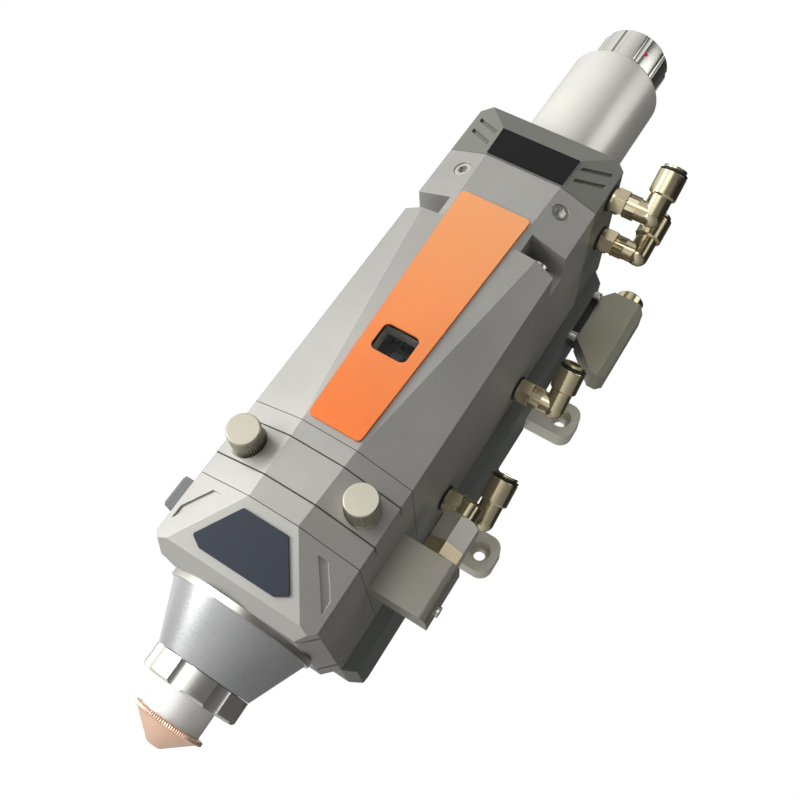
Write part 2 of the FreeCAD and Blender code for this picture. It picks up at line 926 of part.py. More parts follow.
# Cap with a bevelled front, chamfered upper corners and two slanting slots on each slope
cap = module("top_cap", Z_CAP, "cap_height")
BEVEL_LOW = "(cap_height - cap_bevel_height)"
BEVEL_FRONT = face_front("%s + %s" % (Z_CAP, BEVEL_LOW))
drawing = sketch(cap, "YZ")
outline(drawing, [
    ("-" + BEVEL_FRONT, BEVEL_LOW),
    ("-(%s - 2 * cap_bevel_height * tan(cap_bevel_tilt))" % BEVEL_FRONT, "cap_height + cap_bevel_height"),
    ("-%s * 1.2" % BEVEL_FRONT, "cap_height + cap_bevel_height"),
    ("-%s * 1.2" % BEVEL_FRONT, BEVEL_LOW),
])
pocket(cap, drawing, "all", both=True)
drawing = sketch(cap, "XZ")
for side in ("-", ""):
    outline(drawing, [
        (side + "(half_width - 2 * cap_corner_width)", "cap_height + cap_corner_height"),
        (side + "(half_width + cap_corner_width)", "cap_height - 2 * cap_corner_height"),
        (side + "(half_width + cap_corner_width)", "cap_height + cap_corner_height"),
    ])
pocket(cap, drawing, "all", both=True)
for side in (-1, 1):
    drawing = slope_sketch(cap, side)
    for step in ("0", "louvre_pitch"):
        low = "louvre_low + %s" % step
        outline(drawing, [
            (on_slope(side, "louvre_inner"), low),
            (on_slope(side, "louvre_inner + louvre_run"), low + " + louvre_rise"),
            (on_slope(side, "louvre_inner + louvre_run"), low + " + louvre_rise + louvre_width"),
            (on_slope(side, "louvre_inner"), low + " + louvre_width"),
        ])
    pocket(cap, drawing, "louvre_depth")
bore(cap, "collimator_bore")
hose_ports(cap, ("1", "2"))

top_plate = piece("top_plate", y="-" + face_front("0"), axis=(-1, 0, 0), angle=LEAN)
drawing = sketch(top_plate, "XZ")
low = "%s + top_plate_low" % Z_CAP
high = "%s + top_plate_low + top_plate_height" % Z_CAP
outline(drawing, [
    ("-" + face_half(low), low),
    (face_half(low), low),
    (face_half(high), high),
    ("-" + face_half(high), high),
])
pad(top_plate, drawing, "top_plate_thickness")

# Collimating cell inside the upper modules
cell = piece("collimator_cell", z=Z_UPPER)
turned(cell, [
    ("collimator_bore - cell_wall * 2", "0"),
    ("collimator_bore - fixed_gap", "0"),
    ("collimator_bore - fixed_gap", "cell_height"),
    ("collimator_bore - cell_wall", "cell_height"),
    ("collimator_bore - cell_wall", "cell_height / 2"),
    ("collimator_bore - cell_wall * 2", "cell_height / 2"),
])


def lens(label, radius, thickness, z):
    rim = doc.addObject("Part::Cylinder", label + "_rim")
    bind(rim, "Radius", radius)
    bind(rim, "Height", thickness)
    ball = doc.addObject("Part::Sphere", label + "_ball")
    bind(ball, "Radius", "lens_curve")
    bind(ball, ".Placement.Base.z", "%s - lens_curve" % thickness)
    glass = doc.addObject("Part::Common", label)
    glass.Base = rim
    glass.Tool = ball
    glass.Label = label
    place(glass, z=z)
    return glass


collimating_lens = lens(
    "collimating_lens",
    "collimator_bore - cell_wall - 2 * fixed_gap",
    "collimating_thickness",
    Z_UPPER + " + cell_height / 2",
)

# Fibre receiver: tube, seat for the plug and the bayonet collar that turns on it
tube = piece("receiver_tube", z=Z_TOP)
turned(tube, [
    ("seat_radius - 2", "0"),
    ("tube_radius", "0"),
    ("tube_radius", "tube_height"),
    ("seat_radius + fixed_gap", "tube_height"),
    ("seat_radius + fixed_gap", "seat_low"),
    ("seat_radius - 2", "seat_low"),
])
edges(
    tube,
    "Fillet",
    "tube_round",
    lambda e, box: e.BoundBox.ZMin > box.ZMax - 0.01 and e.BoundBox.XLength > box.XLength - 0.01,
)
seat = piece("fibre_seat", z=Z_TOP + " + seat_low")
ring(seat, "seat_radius", "seat_hole", "0", "seat_height")
COLLAR_Z = "%s + tube_height + loose_gap" % Z_TOP
collar = piece("bayonet_collar", z=COLLAR_Z)
turned(collar, [
    ("seat_radius + running_gap", "0"),
    ("collar_radius", "0"),
    ("collar_radius", "collar_height - collar_chamfer"),
    ("collar_radius - collar_chamfer", "collar_height"),
    ("collar_lip_radius", "collar_height"),
    ("collar_lip_radius", "collar_height - collar_lip"),
    ("seat_radius + running_gap", "collar_height - collar_lip"),
])


def scallops(body, radius, depth, outer, count, low, height):
    drawing = sketch(body, "XY", low)
    circle(drawing, "%s + %s - %s" % (outer, radius, depth), "0", radius)
    cut = pocket(body, drawing, height, back=True)
    doc.recompute()
    pattern = body.newObject("PartDesign::PolarPattern", body.Name + "_pattern")
    pattern.Originals = [cut]
    pattern.Axis = (drawing, ["N_Axis"])
    pattern.Angle = 360
    bind(pattern, "Occurrences", count)
    body.Tip = pattern


scallops(
    collar,
    "flute_radius",
    "flute_depth",
    "collar_radius",
    "flute_count",
    "collar_height / 5",
    "collar_height * 0.8 + 1",
)

# Focusing unit: a carriage on two rods, moved by a lead screw
FLOOR = "(%s + chamber_floor)" % Z_MAIN
carriage = piece("focus_carriage", z="carriage_low")
drawing = sketch(carriage, "XY")
outline(drawing, [
    ("-carriage_half", "-carriage_front"),
    ("carriage_half", "-carriage_front"),
    ("carriage_half", "rod_depth + 2 * rod_radius"),
    ("carriage_tail", "carriage_rear"),
    ("-carriage_tail", "carriage_rear"),
    ("-carriage_half", "rod_depth + 2 * rod_radius"),
])
pad(carriage, drawing, "carriage_height")
drawing = sketch(carriage, "XY", "lens_seat")
circle(drawing, "0", "0", "lens_radius + fixed_gap")
pocket(carriage, drawing, "all", back=True)
bore(carriage, "lens_radius - lens_ledge")
for side in (-1, 1):
    bore(carriage, "rod_radius + running_gap", "%d * rod_spacing / 2" % side, "rod_depth")
bore(carriage, "nut_radius + fixed_gap", "0", "drive_depth")
focusing_lens = lens("focusing_lens", "lens_radius", "lens_thickness", "carriage_low + lens_seat")

pointer = piece("focus_pointer", z="carriage_low + pointer_low")
drawing = sketch(pointer, "XY")
rectangle(drawing, "-pointer_half", "pointer_half", "-pointer_front", "-carriage_front")
pad(pointer, drawing, "pointer_height")
edges(
    pointer,
    "Fillet",
    "pointer_half * 0.6",
    lambda e, box: runs("Z")(e, box) and e.BoundBox.Center.y < box.Center.y,
)

nut = piece("carriage_nut", y="drive_depth", z="carriage_low")
turned(nut, [
    ("screw_radius + 2 * running_gap", "-nut_flange"),
    ("nut_radius + 1.5", "-nut_flange"),
    ("nut_radius + 1.5", "0"),
    ("nut_radius", "0"),
    ("nut_radius", "carriage_height"),
    ("screw_radius + 2 * running_gap", "carriage_height"),
])

rod_members = []
for side, name in ((-1, "left"), (1, "right")):
    rod = doc.addObject("Part::Cylinder", "guide_rod_" + name)
    bind(rod, "Radius", "rod_radius")
    bind(rod, "Height", "rod_seat_low + chamber_height + rod_seat_high")
    place(rod, "%d * rod_spacing / 2" % side, "rod_depth", FLOOR + " - rod_seat_low")
    rod_members.append(rod)
guide_rods = group("guide_rods", rod_members)

bearing = piece("screw_bearing", y="drive_depth", z=FLOOR + " - (bearing_height - 2)")
ring(bearing, "nut_radius", "screw_radius + running_gap", "0", "bearing_height")
ROOF = "(%s + chamber_height)" % FLOOR
drive = piece("lead_screw", y="drive_depth", z=FLOOR + " - (bearing_height - 2)")
drawing = sketch(drive, "XY")
circle(drawing, "0", "0", "screw_radius")
pad(drive, drawing, "bearing_height - 2 + chamber_height - motor_height + shaft_depth - 1")
edges(drive, "Chamfer", "screw_radius / 5", lambda e, box: e.BoundBox.ZLength < 0.01)

motor = piece("focus_motor", y="drive_depth", z=ROOF + " - motor_height")
drawing = sketch(motor, "XY")
rectangle(drawing, "-motor_side / 2", "motor_side / 2", "-motor_side / 2", "seam_depth - drive_depth - 1")
pad(motor, drawing, "motor_height")
edges(motor, "Chamfer", "motor_corner", runs("Z"))
drawing = sketch(motor, "XY")
circle(drawing, "0", "0", "screw_radius + running_gap")
pocket(motor, drawing, "shaft_depth", back=True)

# Rear housing and rear cover, each with a channel for its mounting bar
rear = piece("rear_housing")
drawing = sketch(rear, "XZ", "-seam_depth")
outline(drawing, [
    ("-(cover_half - rear_slant)", "-rear_low"),
    ("cover_half - rear_slant", "-rear_low"),
    ("cover_half", "-(rear_low - rear_slant_height)"),
    ("cover_half", "cover_split"),
    ("-cover_half", "cover_split"),
    ("-cover_half", "-(rear_low - rear_slant_height)"),
])
pad(rear, drawing, "rear_depth - seam_depth", back=True)
drawing = sketch(rear, "XY")
for side in ("-", ""):
    outline(drawing, [
        (side + "(cover_half - 2 * rear_slant)", "seam_depth - rear_slant"),
        (side + "(cover_half + rear_slant)", "seam_depth + 2 * rear_slant"),
        (side + "(cover_half + rear_slant)", "seam_depth - rear_slant"),
    ])
pocket(rear, drawing, "all", both=True)
drawing = sketch(rear, "YZ")
outline(drawing, [
    ("rear_depth - 2 * rear_toe", "-(rear_low + rear_toe_height)"),
    ("rear_depth + rear_toe", "-(rear_low - 2 * rear_toe_height)"),
    ("rear_depth + rear_toe", "-(rear_low + rear_toe_height)"),
])
pocket(rear, drawing, "all", both=True)

cover = piece("rear_cover", z="cover_split")
drawing = sketch(cover, "XZ", "-cover_front")
outline(drawing, [
    ("-cover_half", "0"),
    ("cover_half", "0"),
    ("cover_half", "cover_top - cover_split - cover_corner"),
    ("cover_half - cover_corner", "cover_top - cover_split"),
    ("-(cover_half - cover_corner)", "cover_top - cover_split"),
    ("-cover_half", "cover_top - cover_split - cover_corner"),
])
pad(cover, drawing, "cover_rear - cover_front", back=True)
drawing = sketch(cover, "XY")
rectangle(drawing, "-half_width", "half_width", "0", "seam_depth")
pocket(cover, drawing, "all", back=True)

for body, low, name in (
    (rear, "0", "mounting_bar_lower"),
    (cover, "cover_split", "mounting_bar_upper"),
):
    sign = "-" if name.endswith("lower") else "+"
    middle = "mount_height %s mount_pitch / 2" % sign
    drawing = sketch(body, "YZ")
    rectangle(
        drawing,
        "rear_depth - bar_thickness",
        "rear_depth + bar_thickness",
        "%s - bar_height / 2 - %s" % (middle, low),
        "%s + bar_height / 2 - %s" % (middle, low),
    )
    pocket(body, drawing, "all", both=True)
    bar = piece(name, y="rear_depth", z=middle)
    drawing = sketch(bar, "XZ")
    rectangle(drawing, "-bar_half", "bar_half", "-bar_height / 2", "bar_height / 2")
    pad(bar, drawing, "bar_thickness")
    edges(bar, "Fillet", "bar_corner", runs("Y"))
    for radius, depth in (("mount_hole", "bar_thickness"), ("counterbore", "counterbore_depth")):
        drawing = sketch(bar, "XZ", "bar_thickness")
        for side in (-1, 1):
            circle(drawing, "%d * hole_spacing / 2" % side, "0", radius)
        pocket(bar, drawing, depth)

# Gas block, its fitting, union nut and screw
gas_block = piece("gas_block", x="half_width", z="gas_low")
drawing = sketch(gas_block, "XY")
rectangle(drawing, "0", "gas_reach", "-gas_front", "gas_rear")
pad(gas_block, drawing, "gas_high - gas_low")
edges(
    gas_block,
    "Fillet",
    "gas_corner",
    outer_front,
)
gas_fitting = piece("gas_fitting", x="gas_port_x", y="gas_port_y", z="gas_high")
drawing = sketch(gas_fitting, "XY")
hexagon(drawing, "0", "0", "gas_flats")
pad(gas_fitting, drawing, "gas_collar_height")
drawing = sketch(gas_fitting, "XY")
circle(drawing, "0", "0", "gas_stub_radius")
pad(gas_fitting, drawing, "gas_stub_end")
drawing = sketch(gas_fitting, "XY", "gas_stub_end")
circle(drawing, "0", "0", "gas_bore")
pocket(gas_fitting, drawing, "gas_bore_depth")
gas_nut = piece("gas_nut", x="gas_port_x", y="gas_port_y", z="gas_high + gas_collar_height")
drawing = sketch(gas_nut, "XY")
hexagon(drawing, "0", "0", "gas_flats")
pad(gas_nut, drawing, "gas_nut_height")
turned(gas_nut, [
    ("gas_flats / 2", "gas_nut_height"),
    ("gas_flats / 2 + 2 * gas_nut_chamfer", "gas_nut_height - 2 * gas_nut_chamfer"),
    ("gas_flats / 2 + 2 * gas_nut_chamfer", "gas_nut_height"),
], cut=True)
bore(gas_nut, "gas_stub_radius + fixed_gap")
gas_screw = piece("gas_block_screw", x="half_width + gas_reach", y="gas_screw_y", z="gas_screw_z")
drawing = sketch(gas_screw, "YZ")
circle(drawing, "0", "0", "gas_screw_radius")
pad(gas_screw, drawing, "gas_screw_height")
drawing = sketch(gas_screw, "YZ", "gas_screw_height")
hexagon(drawing, "0", "0", "gas_screw_radius * 1.1")
pocket(gas_screw, drawing, "gas_screw_height / 2")

# Signal connector: socket on the cover, hood, cable ring and two jack screws
HOOD_MID = "(hood_front + hood_rear) / 2"
socket = piece("connector_socket", x="cover_half", y=HOOD_MID, z="hood_low")
drawing = sketch(socket, "XZ", "-(hood_rear - hood_front) / 2")
rectangle(
    drawing,
    "0",
    "hood_inner - cover_half",
    "hood_lower_height + socket_margin",
    "hood_high - hood_low - hood_step_height - socket_margin",
)
pad(socket, drawing, "hood_rear - jack_depth - jack_radius - loose_gap")

shell = piece("connector_shell", y="hood_rear", z="hood_low")
drawing = sketch(shell, "XZ")
top = "hood_high - hood_low"
outline(drawing, [
    ("hood_inner", "hood_lower_height"),
    ("hood_inner + hood_lower_step", "0"),
    ("hood_outer - hood_corner", "0"),
    ("hood_outer", "hood_corner"),
    ("hood_outer", "%s - hood_corner" % top),
    ("hood_outer - hood_corner", top),
    ("hood_inner + hood_step", top),
    ("hood_inner", "%s - hood_step_height" % top),
])
pad(shell, drawing, "hood_rear - hood_front")
edges(
    shell,
    "Chamfer",
    "hood_chamfer",
    outer_front,
)
cable_ring = piece("cable_ring", x="ring_x", y=HOOD_MID, z="hood_high")
turned(cable_ring, [
    ("ring_hole", "0"),
    ("ring_radius", "0"),
    ("ring_radius", "ring_height * 0.8"),
    ("ring_radius - ring_height * 0.2", "ring_height"),
    ("ring_hole", "ring_height"),
])
for name, height in (("jack_screw_upper", "jack_high"), ("jack_screw_lower", "jack_low")):
    jack = piece(name, x="cover_half", y="jack_depth", z="hood_low + " + height)
    drawing = sketch(jack, "YZ")
    circle(drawing, "0", "0", "jack_radius")
    pad(jack, drawing, "jack_length")
    drawing = sketch(jack, "YZ", "jack_length")
    rectangle(drawing, "-jack_radius", "jack_radius", "-0.4", "0.4")
    pocket(jack, drawing, "jack_length / 4")

sensor = piece("sensor_block", x="-half_width")
drawing = sketch(sensor, "YZ")
rectangle(drawing, "-sensor_front", "-sensor_rear", "-sensor_low", "-sensor_high")
pad(sensor, drawing, "sensor_reach", back=True)
edges(sensor, "Chamfer", "sensor_reach / 6", lambda e, box: e.BoundBox.XMax < box.XMin + 0.01)

# Sensor cone under the nozzle module, the lobed lock ring, the ceramic ring and the nozzle
collar_ring = piece("collar_ring", z="-module_height")
ring(collar_ring, "ring_outer", "beam_radius", "-ring_thickness", "0")
cone = piece("cone_body", z="-(module_height + ring_thickness)")
turned(cone, [
    ("cone_bore", "0"),
    ("cone_top", "0"),
    ("cone_bottom", "-cone_height"),
    ("cone_boss", "-cone_height"),
    ("cone_boss", "-(cone_height + cone_boss_height)"),
    ("cone_bore", "-(cone_height + cone_boss_height)"),
])
CONE_END = "(module_height + ring_thickness + cone_height)"
lock = piece("lock_ring", z="-(%s + loose_gap)" % CONE_END)
FLANGE_LOW = "(cone_boss_height + ceramic_flange_height)"
turned(lock, [
    ("cone_boss + running_gap", "0"),
    ("lock_radius", "0"),
    ("lock_radius", "-lock_height"),
    ("ceramic_radius + loose_gap", "-lock_height"),
    ("ceramic_radius + loose_gap", "-(lock_height - lock_lip)"),
    ("cone_boss + running_gap", "-(lock_height - lock_lip)"),
])
edges(
    lock,
    "Chamfer",
    "lock_chamfer",
    lambda e, box: e.BoundBox.ZMax < box.ZMin + 0.01 and e.Length > 3 * box.XLength,
)
scallops(
    lock,
    "lobe_cut_radius",
    "lobe_cut_depth",
    "lock_radius",
    "lobe_count",
    "-lock_height",
    "lock_height",
)
ceramic = piece("ceramic_ring", z="-(%s + cone_boss_height)" % CONE_END)
turned(ceramic, [
    ("ceramic_bore", "0"),
    ("ceramic_flange", "0"),
    ("ceramic_flange", "-ceramic_flange_height"),
    ("ceramic_radius", "-ceramic_flange_height"),
    ("ceramic_radius", "-(ceramic_flange_height + ceramic_height)"),
    ("ceramic_bore", "-(ceramic_flange_height + ceramic_height)"),
])
nozzle = piece("nozzle", z="-(%s + %s + ceramic_height)" % (CONE_END, FLANGE_LOW))
turned(nozzle, [
    ("nozzle_bore * 2", "nozzle_shank"),
    ("ceramic_bore - 2 * running_gap", "nozzle_shank"),
    ("ceramic_bore - 2 * running_gap", "0"),
    ("nozzle_flange", "0"),
    ("nozzle_flange", "-nozzle_rim"),
    ("nozzle_flange - nozzle_rim", "-nozzle_rim"),
    ("nozzle_tip", "-nozzle_length"),
    ("nozzle_bore", "-nozzle_length"),
    ("nozzle_bore", "-nozzle_rim"),
    ("nozzle_bore * 2", "0"),
])

# Push-in elbows: a fixed stem, the elbow that swivels on it and the ring that lets the hose go
stems = []
for mark, low in (("1", Z_CAP), ("2", Z_CAP), ("3", Z_MAIN), ("4", Z_MAIN)):
    at = {"x": "half_width", "y": "elbow_back_" + mark, "z": "%s + elbow_up_%s" % (low, mark)}
    stem = piece("stem_" + mark, **at)
    drawing = sketch(stem, "YZ", "-port_depth")
    circle(drawing, "0", "0", "port_radius")
    pad(stem, drawing, "port_depth")
    drawing = sketch(stem, "YZ")
    circle(drawing, "0", "0", "stem_flats / 2")
    pad(stem, drawing, "stem_washer")
    drawing = sketch(stem, "YZ", "stem_washer")
    hexagon(drawing, "0", "0", "stem_flats")
    pad(stem, drawing, "stem_hex")
    drawing = sketch(stem, "YZ", "stem_end")
    circle(drawing, "0", "0", "stem_post")
    pad(stem, drawing, "elbow_reach - elbow_radius - stem_end")
    stems.append(stem)

    elbow = piece("elbow_" + mark, axis=(1, 0, 0), angle="elbow_lean_" + mark, **at)
    drawing = sketch(elbow, "XY", "-elbow_radius")
    circle(drawing, "elbow_reach", "0", "elbow_radius")
    pad(elbow, drawing, "elbow_radius + barrel_start")
    edges(elbow, "Fillet", "elbow_bend", lambda e, box: e.BoundBox.ZMax < box.ZMin + 0.01)
    drawing = sketch(elbow, "XY", "barrel_start")
    circle(drawing, "elbow_reach", "0", "barrel_radius")
    pad(elbow, drawing, "barrel_length - barrel_start")
    edges(
        elbow,
        "Chamfer",
        "barrel_chamfer",
        lambda e, box: e.BoundBox.ZLength < 0.01 and e.BoundBox.XLength > 2 * SIZES["barrel_radius"] - 0.01,
    )
    drawing = sketch(elbow, "YZ", "stem_end + loose_gap")
    circle(drawing, "0", "0", "elbow_radius - running_gap * 4")
    pad(elbow, drawing, "elbow_reach - loose_gap - stem_end")
    drawing = sketch(elbow, "YZ", "stem_end + loose_gap")
    hexagon(drawing, "0", "0", "elbow_flats")
    pad(elbow, drawing, "elbow_hex")
    drawing = sketch(elbow, "YZ", "stem_end + loose_gap")
    circle(drawing, "0", "0", "stem_post + running_gap")
    pocket(elbow, drawing, "elbow_reach - elbow_radius - stem_end", back=True)
    drawing = sketch(elbow, "XY", "barrel_length")
    circle(drawing, "elbow_reach", "0", "release_sleeve + 2 * running_gap")
    pocket(elbow, drawing, "release_depth + release_travel")

    release = piece("release_ring_" + mark, axis=(1, 0, 0), angle="elbow_lean_" + mark, **at)
    drawing = sketch(release, "XY", "barrel_length + release_travel + loose_gap")
    circle(drawing, "elbow_reach", "0", "release_radius")
    pad(release, drawing, "release_flange")
    drawing = sketch(release, "XY", "barrel_length + release_travel + loose_gap")
    circle(drawing, "elbow_reach", "0", "release_sleeve")
    pad(release, drawing, "release_depth", back=True)
    bore(release, "hose_radius", "elbow_reach", "0")
fitting_stems = group("fitting_stems", stems)

doc.recompute()

PIECES = [
    nozzle_module, badge, spacer, drawer, drawer_housing, seal, window, retainer,
    intermediate, main, plate, pane, tie_screws, collimator, collimator_screws, cap, top_plate,
    tube, seat, collar, cell, collimating_lens, carriage, focusing_lens, pointer, nut, guide_rods,
    drive, bearing, motor, rear, cover, gas_block, gas_fitting, gas_nut, gas_screw,
    socket, shell, cable_ring, sensor, collar_ring, cone, lock, ceramic, nozzle, fitting_stems,
]
for label in ("thumb_screw_left", "thumb_screw_right", "mounting_bar_lower", "mounting_bar_upper"):
    PIECES.append(doc.getObject(label))
for label in ("jack_screw_upper", "jack_screw_lower"):
    PIECES.append(doc.getObject(label))
for mark in ("1", "2", "3", "4"):
    PIECES.append(doc.getObject("elbow_" + mark))
    PIECES.append(doc.getObject("release_ring_" + mark))

# Every object has to be sound before anything is written
for thing in doc.Objects:
    if "Invalid" in thing.State or "Error" in thing.State:
        raise RuntimeError("%s failed: %s" % (thing.Name, thing.State))
for body in doc.Objects:
    if body.TypeId != "PartDesign::Body":
        continue
    before = None
    for feature in body.Group:
        if not feature.isDerivedFrom("PartDesign::Feature"):
            continue
        volume = feature.Shape.Volume
        cuts = feature.TypeId in ("PartDesign::Pocket", "PartDesign::Groove", "PartDesign::Hole")
        if cuts and not volume < before - 1e-6:
            raise RuntimeError("%s cuts nothing" % feature.Name)
        before = volume
for part in PIECES:
    if part.Shape.isNull() or not part.Shape.isValid() or part.Shape.Volume <= 0:
        raise RuntimeError("%s has no sound shape" % part.Label)

os.makedirs("parts", exist_ok=True)
for part in PIECES:
    part.Shape.exportStep("parts/%s.step" % part.Label)
print(len(PIECES), "pieces written")
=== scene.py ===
import math

import bmesh
import bpy
from mathutils import Matrix, Vector


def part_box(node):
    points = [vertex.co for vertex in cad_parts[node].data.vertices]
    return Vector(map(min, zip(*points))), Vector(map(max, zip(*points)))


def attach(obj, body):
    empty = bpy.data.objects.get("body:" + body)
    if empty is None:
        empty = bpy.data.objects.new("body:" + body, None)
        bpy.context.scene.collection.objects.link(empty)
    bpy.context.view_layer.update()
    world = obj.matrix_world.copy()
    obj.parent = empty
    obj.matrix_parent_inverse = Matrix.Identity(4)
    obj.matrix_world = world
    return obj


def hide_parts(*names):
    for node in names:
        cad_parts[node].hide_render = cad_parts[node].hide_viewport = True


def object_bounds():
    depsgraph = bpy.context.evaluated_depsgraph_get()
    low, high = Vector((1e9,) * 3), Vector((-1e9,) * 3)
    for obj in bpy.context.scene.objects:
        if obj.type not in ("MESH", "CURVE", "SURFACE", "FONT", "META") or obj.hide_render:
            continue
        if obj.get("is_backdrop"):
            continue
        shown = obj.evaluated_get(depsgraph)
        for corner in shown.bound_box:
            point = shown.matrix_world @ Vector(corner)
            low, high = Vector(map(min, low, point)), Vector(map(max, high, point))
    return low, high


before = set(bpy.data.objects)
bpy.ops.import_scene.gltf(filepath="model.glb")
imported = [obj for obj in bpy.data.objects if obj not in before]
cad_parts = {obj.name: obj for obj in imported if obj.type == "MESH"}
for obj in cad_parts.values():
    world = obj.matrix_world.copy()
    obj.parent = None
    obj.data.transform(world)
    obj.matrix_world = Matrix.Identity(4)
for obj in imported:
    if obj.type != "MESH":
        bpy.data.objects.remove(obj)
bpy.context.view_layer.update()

# The frame lies on the rear mounting plane. The beam axis stands 86 mm in front of it, and line C,
# the lower edge of the spacer band, 106.5 mm below the middle of the mounting holes.
AXIS_Y = -0.086
LINE_C = -0.1065
MM = 0.001
WHITE = (1.0, 1.0, 1.0)


def at(x, y, z):
    """A point of the frame, from millimetres about the beam axis and line C."""
    return Vector((x * MM, y * MM + AXIS_Y, z * MM + LINE_C))


def added(name, data):
    """A new object in the scene."""
    thing = bpy.data.objects.new(name, data)
    bpy.context.scene.collection.objects.link(thing)
    return thing


class Nodes:
    """The node tree of a material or of the world, and short calls that add nodes to it."""

    def __init__(self, tree):
        self.tree = tree
        tree.nodes.clear()
        self.coord = self.add("TexCoord")

    def add(self, kind, **values):
        node = self.tree.nodes.new("ShaderNode" + kind)
        for key, value in values.items():
            setattr(node, key, value)
        return node

    def link(self, a, b):
        self.tree.links.new(a, b)

    def fill(self, socket, value):
        """Gives a socket a constant, a colour or the result of another node."""
        if isinstance(value, bpy.types.NodeSocket):
            self.link(value, socket)
        else:
            socket.default_value = value + (1.0,) if isinstance(value, tuple) else value

    def noise(self, scale, detail, rough, vector=None):
        node = self.add("TexNoise")
        node.inputs["Scale"].default_value = scale
        node.inputs["Detail"].default_value = detail
        node.inputs["Roughness"].default_value = rough
        self.link(vector or self.coord.outputs["Object"], node.inputs["Vector"])
        return node.outputs["Fac"]

    def ramp(self, fac, stops):
        """A colour between stops, which are two pairs of position and colour."""
        node = self.add("ValToRGB")
        for element, (where, colour) in zip(node.color_ramp.elements, stops):
            element.position = where
            element.color = colour + (1.0,)
        self.link(fac, node.inputs["Fac"])
        return node.outputs["Color"]

    def span(self, fac, low, high, from_low=0.0, from_high=1.0):
        """The range from_low to from_high carried over to low to high, and held at its ends."""
        node = self.add("MapRange")
        node.inputs["From Min"].default_value = from_low
        node.inputs["From Max"].default_value = from_high
        node.inputs["To Min"].default_value = low
        node.inputs["To Max"].default_value = high
        self.link(fac, node.inputs["Value"])
        return node.outputs["Result"]

    def mix(self, fac, a, b, blend="MIX"):
        node = self.add("Mix", data_type="RGBA", blend_type=blend)
        sockets = node.inputs[0], node.inputs[6], node.inputs[7]
        for socket, value in zip(sockets, (fac, a, b)):
            self.fill(socket, value)
        return node.outputs[2]

    def reckon(self, operation, *values):
        node = self.add("Math", operation=operation)
        for socket, value in zip(node.inputs, values):
            self.fill(socket, value)
        return node.outputs["Value"]

    def along(self, vector, direction):
        """How far a vector goes in a direction."""
        node = self.add("VectorMath", operation="DOT_PRODUCT")
        node.inputs[1].default_value = direction
        self.link(vector, node.inputs[0])
        return node.outputs["Value"]

    def white_rays(self, vector, direction, dark, bright):
        """The rays that show the white background: camera and transmission rays, and glossy rays,
        which see it at its whitest on the bright side of the studio."""
        ray = self.add("LightPath").outputs
        side = self.span(self.along(vector, direction), 0.0, 1.0, dark, bright)
        glossy = self.reckon("MULTIPLY", ray["Is Glossy Ray"], side)
        direct = self.reckon("MAXIMUM", ray["Is Camera Ray"], ray["Is Transmission Ray"])
        return self.reckon("MAXIMUM", direct, glossy)


class Surface(Nodes):
    """A new material whose surface is one Principled node."""

    def __init__(self, name):
        self.material = bpy.data.materials.new(name)
        self.material.use_nodes = True
        super().__init__(self.material.node_tree)
        self.bsdf = self.add("BsdfPrincipled")
        self.link(self.bsdf.outputs["BSDF"], self.add("OutputMaterial").inputs["Surface"])


# Materials: each is a procedural surface in object coordinates. Lengths are in metres, and the
# scales of the noise in turns per metre.
PATCHES = 25.0  # broad changes of tone
SPECKS = (0.86, 0.86, 0.86)  # how dark the fine grain gets
ROUGH_SPREAD = 0.06
EDGE_RADIUS = 0.35 * MM
RELIEF = 0.06 * MM
# Painted highlight along sharp edges: full at the first bend, gone by the second.
HIGHLIGHT_BEND = (0.8, 0.995)  # cosine of the bend at a sharp edge and on flat metal
ROUND_MARKS = 90.0  # scale of turning marks round the part; along its axis they are much finer
COAT_ROUGH = 0.15
COATED_IOR = 1.2  # less than that of plain glass, since the panes are coated against reflection


